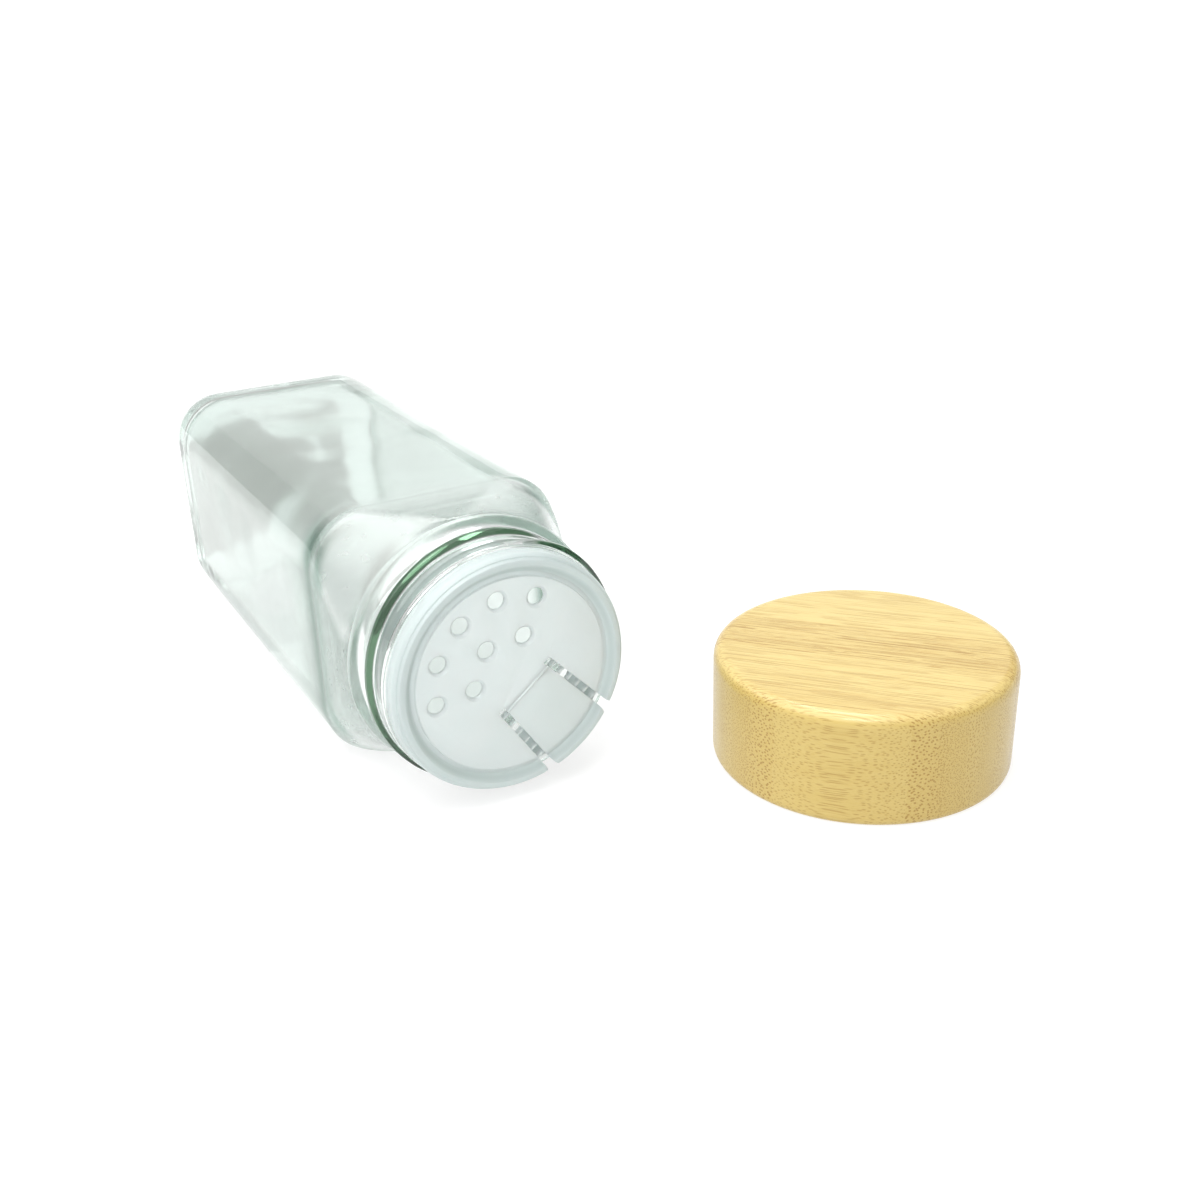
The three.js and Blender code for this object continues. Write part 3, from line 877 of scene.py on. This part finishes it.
def flap_window():
    """Outline of what the flap, its slots and its hinge line leave out of the insert."""
    hinge = HINGE - HINGE_GAP / 2
    slot_end = HINGE - SLOT_PAST_HINGE
    past = FLANGE + OVERRUN
    reach = FLANGE - RIM_STEP
    out = FLAP_RIM_HALF + SLOT
    mouth = math.sqrt(reach**2 - out**2)
    along_rim = Vector((-out, mouth)) / reach * SLOT_ROUND * 3
    side = [
        (hinge, flap_half(hinge), 0),
        (slot_end, flap_half(slot_end), 0),
        (slot_end, flap_half(slot_end) + SLOT, 0),
        (mouth, out, SLOT_ROUND),
        (mouth + along_rim.x, out + along_rim.y, 0),
        (past, out + along_rim.y, 0),
    ]
    return softened([(x, -y, r) for x, y, r in side] + side[::-1], SLOT_CORNER_STEPS)


def shaker_insert():
    """The insert with its skirt, its holes and the opening for the flap."""
    inside = SKIRT - SKIRT_WALL
    rib = SKIRT_END + 2 * SNAP_RIB_WIDTH
    loop = sifter_loop(
        [
            (inside, DISC_BACK, SKIRT_ROUND),
            (inside, SKIRT_END, SKIRT_FOOT_ROUND),
            (SKIRT - SKIRT_LEAD, SKIRT_END, SKIRT_FOOT_ROUND),
            (SKIRT, SKIRT_END + SNAP_RIB_WIDTH, SKIRT_LEAD_ROUND),
            (SKIRT, rib - SNAP_RIB_WIDTH / 2, SKIRT_ROUND),
            (SKIRT + SNAP_RIB, rib, SKIRT_ROUND),
            (SKIRT, rib + SNAP_RIB_WIDTH / 2, SKIRT_ROUND),
            (SKIRT, FLANGE_FOOT, FINE_ROUND),
        ]
    )
    made = new_object("sifter_insert", *turned(loop), INSERT_PLACE)
    opening = prism(flap_window(), FLANGE_FOOT - SEAT_GAP, CREST + OVERRUN)
    window = new_object("window", *opening, INSERT_PLACE)
    seat_edge = SKIRT - SEAT_INSET
    seat_top = DISC_BACK - SEAT_GAP
    seat = turned([(0, 0), (seat_edge, 0), (seat_edge, seat_top), (0, seat_top)])
    carved(window, new_object("seat", *seat, INSERT_PLACE))
    carved(made, window)
    for tool in sprinkle_drills():
        carved(made, tool)
    edged(made, EDGE)
    return made


def sprinkle_drills():
    """Drills with a small countersink at both faces, on two rings away from the flap."""
    wide = HOLE + 2 * HOLE_BEVEL
    loop = [
        (0, DISC_BACK - HOLE_BEVEL),
        (wide, DISC_BACK - HOLE_BEVEL),
        (HOLE, DISC_BACK + HOLE_BEVEL),
        (HOLE, DISC_FACE - HOLE_BEVEL),
        (wide, DISC_FACE + HOLE_BEVEL),
        (0, DISC_FACE + HOLE_BEVEL),
    ]
    points, faces = turned(loop, HOLE_SIDES)
    for radius, count, step in HOLE_ROWS:
        for k in range(count):
            turn = math.pi + (k - (count - 1) / 2) * step
            spot = Matrix.Translation((radius * math.cos(turn), radius * math.sin(turn), 0))
            yield new_object("drill", points, faces, INSERT_PLACE @ spot)


def slot_bars():
    """Small bars that stand out of the insert into the slots beside the flap."""
    work = bmesh.new()
    first = HINGE + BAR_FIRST
    last = FLANGE - BAR_LAST
    low = DISC_BACK
    high = DISC_FACE - BAR_DROP
    for k in range(BARS):
        distance = first + (last - first) * k / (BARS - 1)
        near = flap_half(distance) + BAR_GAP
        far = flap_half(distance) + SLOT + BAR_BITE
        for side in (-1, 1):
            size = Vector((BAR_THICKNESS, far - near, high - low))
            middle = Vector((distance, side * (near + far) / 2, (low + high) / 2))
            place = Matrix.Translation(middle) @ Matrix.Diagonal((*size, 1))
            bmesh.ops.create_cube(work, matrix=place)
    mesh = bpy.data.meshes.new("slot_bars")
    work.to_mesh(mesh)
    work.free()
    made = bpy.data.objects.new("slot_bars", mesh)
    made.matrix_world = INSERT_PLACE
    bpy.context.scene.collection.objects.link(made)
    edged(made, BAR_EDGE)
    return made


def pour_flap():
    """The flap, cut from the same turned moulding as the insert."""
    step = SKIRT + SEAT_GAP
    underside = [(step, DISC_BACK, FLAP_STEP_ROUND), (step, FLANGE_FOOT, FLAP_STEP_ROUND)]
    made = new_object("pour_flap_moulding", *turned(sifter_loop(underside)), INSERT_PLACE)
    hinge = HINGE + HINGE_GAP / 2
    rim = math.sqrt((FLANGE - RIM_STEP) ** 2 - FLAP_RIM_HALF**2)
    side = [
        (hinge, flap_half(hinge), FLAP_HINGE_CORNER),
        (rim, flap_half(rim), FLAP_CORNER),
        (FLANGE + FLAP_PAST, FLAP_RIM_HALF / 4, 0),
    ]
    outline = softened([(x, -y, r) for x, y, r in side] + side[::-1], SLOT_CORNER_STEPS)
    keep = new_object("keep", *prism(outline, 0, CREST + OVERRUN), INSERT_PLACE)
    carved(made, keep, "INTERSECT")
    edged(made, EDGE)
    return made


def hinge_web():
    """Thin web of the moulded hinge between the insert and the flap, raised along its middle."""
    width = HINGE_GAP / 2 + WEB_OVERLAP
    low = DISC_FACE - WEB_DEPTH
    loop = [(HINGE - width, low)]
    for k in range(WEB_STEPS + 1):
        share = 2 * k / WEB_STEPS - 1
        rise = WEB_RISE * (1 - share * share) - WEB_SINK
        loop.append((HINGE + width * share, DISC_FACE + rise))
    loop.append((HINGE + width, low))
    ends = FLAP_HINGE_HALF - WEB_END_GAP
    points, faces = prism(loop, -ends, ends)
    return new_object("hinge_web", [(x, y, z) for x, z, y in points], faces, INSERT_PLACE)


def bamboo_lid():
    cavity = LINER + GLUE
    ceiling = liner_high.z - lid_low.z + GLUE
    loop = softened(
        [
            (0, ceiling, 0),
            (cavity, ceiling, CAVITY_ROUND),
            (cavity, 0, CAVITY_FOOT),
            (LID, 0, LID_FOOT),
            (LID, LID_HEIGHT, LID_EDGE),
            (0, LID_HEIGHT, 0),
        ],
        LID_STEPS,
    )
    return new_object("lid_bamboo", *turned(loop), LID_PLACE)


def thread_liner():
    """Plastic sleeve with the lid's thread on its inside."""
    turns = np.arange(AROUND) * 2 * math.pi / AROUND
    circle = np.stack([np.cos(turns), np.sin(turns)], 1)
    low = liner_low.z - lid_low.z
    high = liner_high.z - lid_low.z
    bore = LINER - LINER_WALL
    ceiling = high - LINER_TOP
    top = low + LINER_THREAD_FOOT + THREAD_TURNS * THREAD_PITCH
    walls = np.linspace(low + LINER_EDGE, ceiling - LINER_EDGE, LINER_RINGS)[::-1]
    sizes = [
        (ceiling, bore / 2),
        (ceiling, bore - LINER_EDGE),
        *((s, bore) for s in walls),
        (low, bore + LINER_EDGE),
        (low, LINER - LINER_EDGE),
        (low + LINER_EDGE, LINER),
        (high - LINER_EDGE, LINER),
        (high, LINER - LINER_EDGE),
        (high, LINER / 2),
    ]
    rings = []
    for s, radius in sizes:
        reach = np.full(AROUND, radius)
        if radius == bore:
            reach -= ridge(
                -turns, s, 0, top, LINER_THREAD_FOOT, LINER_THREAD_CREST, LINER_THREAD
            )
        rings.append(np.column_stack([circle * reach[:, None], np.full(AROUND, s)]))
    made = new_object("lid_thread_liner", *skin(rings), LID_PLACE)
    made.data.set_sharp_from_angle(angle=LINER_CREASE)
    return made


def seal_disc():
    low = seal_low.z - lid_low.z
    high = seal_high.z - lid_low.z
    step = low + SEAL_STEP_HEIGHT
    loop = softened(
        [
            (0, low, 0),
            (SEAL_FACE, low, SEAL_FACE_ROUND),
            (SEAL_STEP, step, SEAL_FACE_ROUND),
            (SEAL, step, SEAL_EDGE_ROUND),
            (SEAL, high, SEAL_EDGE_ROUND),
            (0, high, 0),
        ]
    )
    return new_object("lid_seal", *turned(loop), LID_PLACE)


def plain_finish(name, tone, glow):
    """Matt finish of the floor and the cards, faintly clouded."""
    finish = Finish(name)
    cloud = finish.noise(finish.spot(), 0.01, 3)
    darker = [c * 0.97 for c in tone]
    finish.surface(
        {
            "Base Color": finish.mix(cloud, darker, tone),
            "Roughness": STAGE_ROUGHNESS,
            "Emission Color": (1, 1, 1, 1),
            "Emission Strength": glow,
        }
    )
    return finish.material


def flag(name, corners, tone, glow, shades):
    """A card hidden from the camera that darkens what the glass and rim show; on the floor, a
    painted shadow.
    """
    points = [Vector(corner) * MM for corner in corners]
    made = new_object(name, points, [tuple(range(len(points)))], Matrix())
    made.data.materials.append(plain_finish(name, tone, glow))
    made.visible_camera = False
    made.visible_diffuse = shades
    made.visible_shadow = shades


def turned_to(way):
    """Rotation of a light that shines along a direction."""
    return way.to_track_quat("-Z", "Y").to_matrix().to_4x4()


def softbox(name, middle, towards, size):
    light = bpy.data.lights.new(name, "AREA")
    light.shape = "RECTANGLE"
    light.size, light.size_y = size
    light.energy = BOX_POWER
    made = bpy.data.objects.new(name, light)
    away = turned_to(Vector(towards) - Vector(middle))
    made.matrix_world = Matrix.Translation(middle) @ away
    bpy.context.scene.collection.objects.link(made)


def studio():
    """Pale floor that rises into a bowl far off, cards, lights and sky."""
    turns = np.arange(FLOOR_AROUND) * 2 * math.pi / FLOOR_AROUND
    points = []
    for radius, rise in FLOOR_RINGS:
        points += [(radius * math.cos(t), radius * math.sin(t), rise) for t in turns]
    points.append((0, 0, 0))
    faces = []
    for i in range(FLOOR_AROUND):
        j = (i + 1) % FLOOR_AROUND
        faces.append((len(points) - 1, i, j))
        for k in range(len(FLOOR_RINGS) - 1):
            near, far = k * FLOOR_AROUND, (k + 1) * FLOOR_AROUND
            faces.append((near + i, far + i, far + j, near + j))
    floor = new_object("floor", points, faces, Matrix())
    floor.data.materials.append(plain_finish("pale_floor", FLOOR_TONE, FLOOR_GLOW))
    # Painted shadow behind the jar, seen only through the glass
    flag("painted_shadow_behind_jar", SHADOW_BEHIND_JAR, (0.3, 0.29, 0.28), 0.0, False)
    # Painted shadow under the jar, seen only through the glass
    flag("painted_shadow_under_jar", SHADOW_UNDER_JAR, (0.28, 0.28, 0.28), 0.56, False)
    flag("back_flag", BACK_CARD, (0.28, 0.28, 0.28), 0.25, False)
    flag("side_flag", SIDE_CARD, (0.08, 0.08, 0.08), 0.0, True)
    sun = bpy.data.lights.new("soft_sky", "SUN")
    sun.energy = SUN_POWER
    sun.angle = SUN_ANGLE
    made = bpy.data.objects.new("soft_sky", sun)
    made.matrix_world = turned_to(SUN_WAY)
    scene = bpy.context.scene
    scene.collection.objects.link(made)
    softbox("top_box", (-0.2, -0.35, 0.75), (0.04, -0.07, 0.02), (0.22, 0.22))
    softbox("back_box", (0.25, 0.25, 0.7), (0.0, -0.04, 0.03), (0.25, 0.25))
    scene.world = bpy.data.worlds.new("studio")
    scene.world.use_nodes = True
    sky = scene.world.node_tree.nodes["Background"].inputs
    sky["Color"].default_value = (1, 1, 1, 1)
    sky["Strength"].default_value = SKY_POWER
    scene.view_settings.view_transform = "Standard"
    for name, count in BOUNCES.items():
        setattr(scene.cycles, name, count)


def camera():
    """The photograph's camera, with its optical axis a little off the picture's middle."""
    ahead = Vector(
        (
            math.sin(CAMERA_YAW) * math.cos(CAMERA_PITCH),
            math.cos(CAMERA_YAW) * math.cos(CAMERA_PITCH),
            -math.sin(CAMERA_PITCH),
        )
    )
    level = Vector((math.cos(CAMERA_YAW), -math.sin(CAMERA_YAW), 0))
    down = ahead.cross(level)
    right = level * math.cos(CAMERA_ROLL) + down * math.sin(CAMERA_ROLL)
    down = down * math.cos(CAMERA_ROLL) - level * math.sin(CAMERA_ROLL)
    lens = bpy.data.cameras.new("camera")
    lens.sensor_width = SENSOR
    lens.lens = FOCAL_PIXELS / IMAGE_PIXELS * SENSOR
    lens.shift_x = 0.5 - OPTICAL_AXIS[0] / IMAGE_PIXELS
    lens.shift_y = OPTICAL_AXIS[1] / IMAGE_PIXELS - 0.5
    lens.clip_start = NEAREST
    made = bpy.data.objects.new("camera", lens)
    turn = Matrix((right, -down, -ahead)).transposed().to_4x4()
    made.matrix_world = Matrix.Translation(CAMERA_PLACE) @ turn
    bpy.context.scene.collection.objects.link(made)
    bpy.context.scene.camera = made


camera()
studio()

glass = clear_glass()
insert_plastic = milky_plastic("milky_insert_plastic", 0.4, 1.0)
# The flap's copy is painted a little darker as painted shade, the web's copy lighter as a painted
# highlight on the hinge
flap_plastic_painted_shade = milky_plastic("milky_flap_plastic", 0.4, 0.965)
web_plastic_painted_highlight = milky_plastic("milky_web_plastic", 0.1, 1.03)

finished(new_object("jar_glass", *glass_jar(), JAR_PLACE), glass, "jar", "glass_jar")
finished(shaker_insert(), insert_plastic, "insert", "shaker_insert")
finished(slot_bars(), insert_plastic, "insert")
finished(pour_flap(), flap_plastic_painted_shade, "flap", "pour_flap")
web = hinge_web()
web.data.materials.append(web_plastic_painted_highlight)
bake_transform(web)
finished(bamboo_lid(), lacquered_bamboo(), "lid", "bamboo_lid")
finished(thread_liner(), white_plastic(), "lid", "thread_liner")
finished(seal_disc(), sealing_foam(), "lid", "seal_disc")
